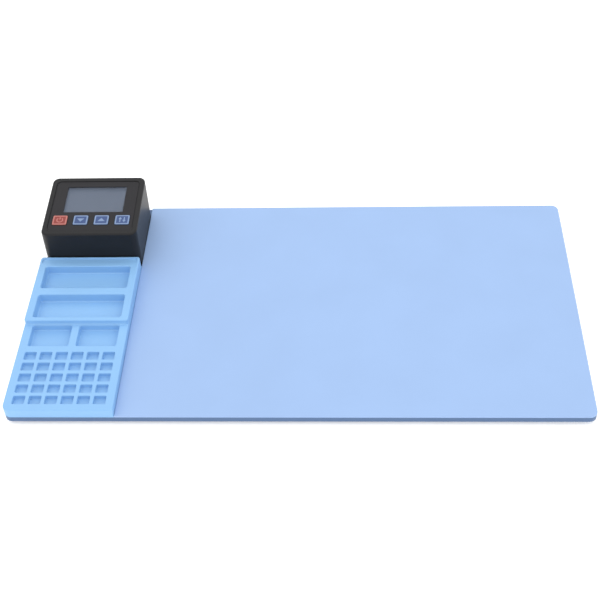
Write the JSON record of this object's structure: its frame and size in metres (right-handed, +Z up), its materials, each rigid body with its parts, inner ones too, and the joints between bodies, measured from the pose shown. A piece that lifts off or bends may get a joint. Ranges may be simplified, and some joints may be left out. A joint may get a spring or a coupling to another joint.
{
  "type": "screen separator hot plate",
  "caption": "Flat silicone-topped hot plate with a small sloping controller box and a compartmented parts tray along one side.",
  "frame": {"origin": "on the table under the middle of the plate, at the bottom of the feet", "axes": "+X along the plate's long side away from the controller, +Y to the back where the inlet is, +Z up"},
  "size_m": [0.38, 0.205, 0.0434],
  "materials": {
    "plate": "anodised blue-grey, satin",
    "mat": "matte silicone, fine grain",
    "tray": "satin silicone",
    "film": "amber polyimide film",
    "foil": "etched foil",
    "insulation": "pressed fibre",
    "cover": "black powder coat",
    "steel": "zinc plated",
    "foot_rubber": "matte",
    "sensor": "matte",
    "housing": "fine moulded texture",
    "panel": "satin",
    "window": "clear, gloss",
    "screen": "unlit colour display",
    "holder": "moulded",
    "board": "solder mask",
    "component_black": "moulded",
    "key_red": "soft touch",
    "key_blue": "soft touch",
    "winding": "tape",
    "capacitor": "sleeve",
    "sink": "milled",
    "fuse_glass": "glass and caps",
    "terminal": "moulded",
    "header": "pins and strip",
    "bush_rubber": "matte",
    "lead_red": "silicone sleeve",
    "lead_white": "silicone sleeve",
    "lead_black": "sleeve",
    "inlet": "moulded",
    "brass": "plated",
    "rocker": "gloss"
  },
  "bodies": {
    "hot_plate": {"heating_plate": "plate", "heating_mat": "mat", "tray_pad": "tray", "heater_film": "film", "heater_track": "foil", "insulation_sheet": "insulation", "bottom_cover": "cover", "cover_screws": "steel", "rubber_feet": "foot_rubber", "temperature_sensor": "sensor", "controller_base": "housing", "controller_shell": "housing", "front_panel": "panel", "display_window": "window", "display_screen": "screen", "display_holder": "holder", "control_board": "board", "key_switches": "component_black", "control_board_screws": "steel", "power_board": "board", "power_board_screws": "steel", "transformer": "winding", "capacitors": "capacitor", "triac": "component_black", "heat_sink": "sink", "fuse": "fuse_glass", "terminal_block": "terminal", "buzzer": "component_black", "board_header": "header", "wire_bush": "bush_rubber", "heater_leads": "lead_red", "sensor_leads": "lead_white", "mains_wires": "lead_black", "inlet_housing": "inlet", "inlet_pins": "brass", "switch_housing": "inlet", "switch_terminals": "brass", "controller_screws": "steel"},
    "power_key": {"power_key": "key_red"},
    "down_key": {"down_key": "key_blue"},
    "up_key": {"up_key": "key_blue"},
    "set_key": {"set_key": "key_blue"},
    "switch_rocker": {"switch_rocker": "rocker"},
    "parts_tray": {"parts_tray": "tray"}
  },
  "joints": [
    {"name": "power_key_press", "type": "slide", "parent": "hot_plate", "child": "power_key", "axis": [0, 0.0698, -0.9976], "range_m": [0, 0.0006], "stiffness_N_per_m": 400, "springref_m": -0.0003},
    {"name": "down_key_press", "type": "slide", "parent": "hot_plate", "child": "down_key", "axis": [0, 0.0698, -0.9976], "range_m": [0, 0.0006], "stiffness_N_per_m": 400, "springref_m": -0.0003},
    {"name": "up_key_press", "type": "slide", "parent": "hot_plate", "child": "up_key", "axis": [0, 0.0698, -0.9976], "range_m": [0, 0.0006], "stiffness_N_per_m": 400, "springref_m": -0.0003},
    {"name": "set_key_press", "type": "slide", "parent": "hot_plate", "child": "set_key", "axis": [0, 0.0698, -0.9976], "range_m": [0, 0.0006], "stiffness_N_per_m": 400, "springref_m": -0.0003},
    {"name": "switch_rock", "type": "hinge", "parent": "hot_plate", "child": "switch_rocker", "pos_m": [-0.1395, 0.096, 0.0235], "axis": [0, 0, -1], "range_deg": [0, 18]},
    {"name": "tray_lift", "type": "slide", "parent": "hot_plate", "child": "parts_tray", "axis": [0, 0, 1], "range_m": [0, 0.06]}
  ]
}
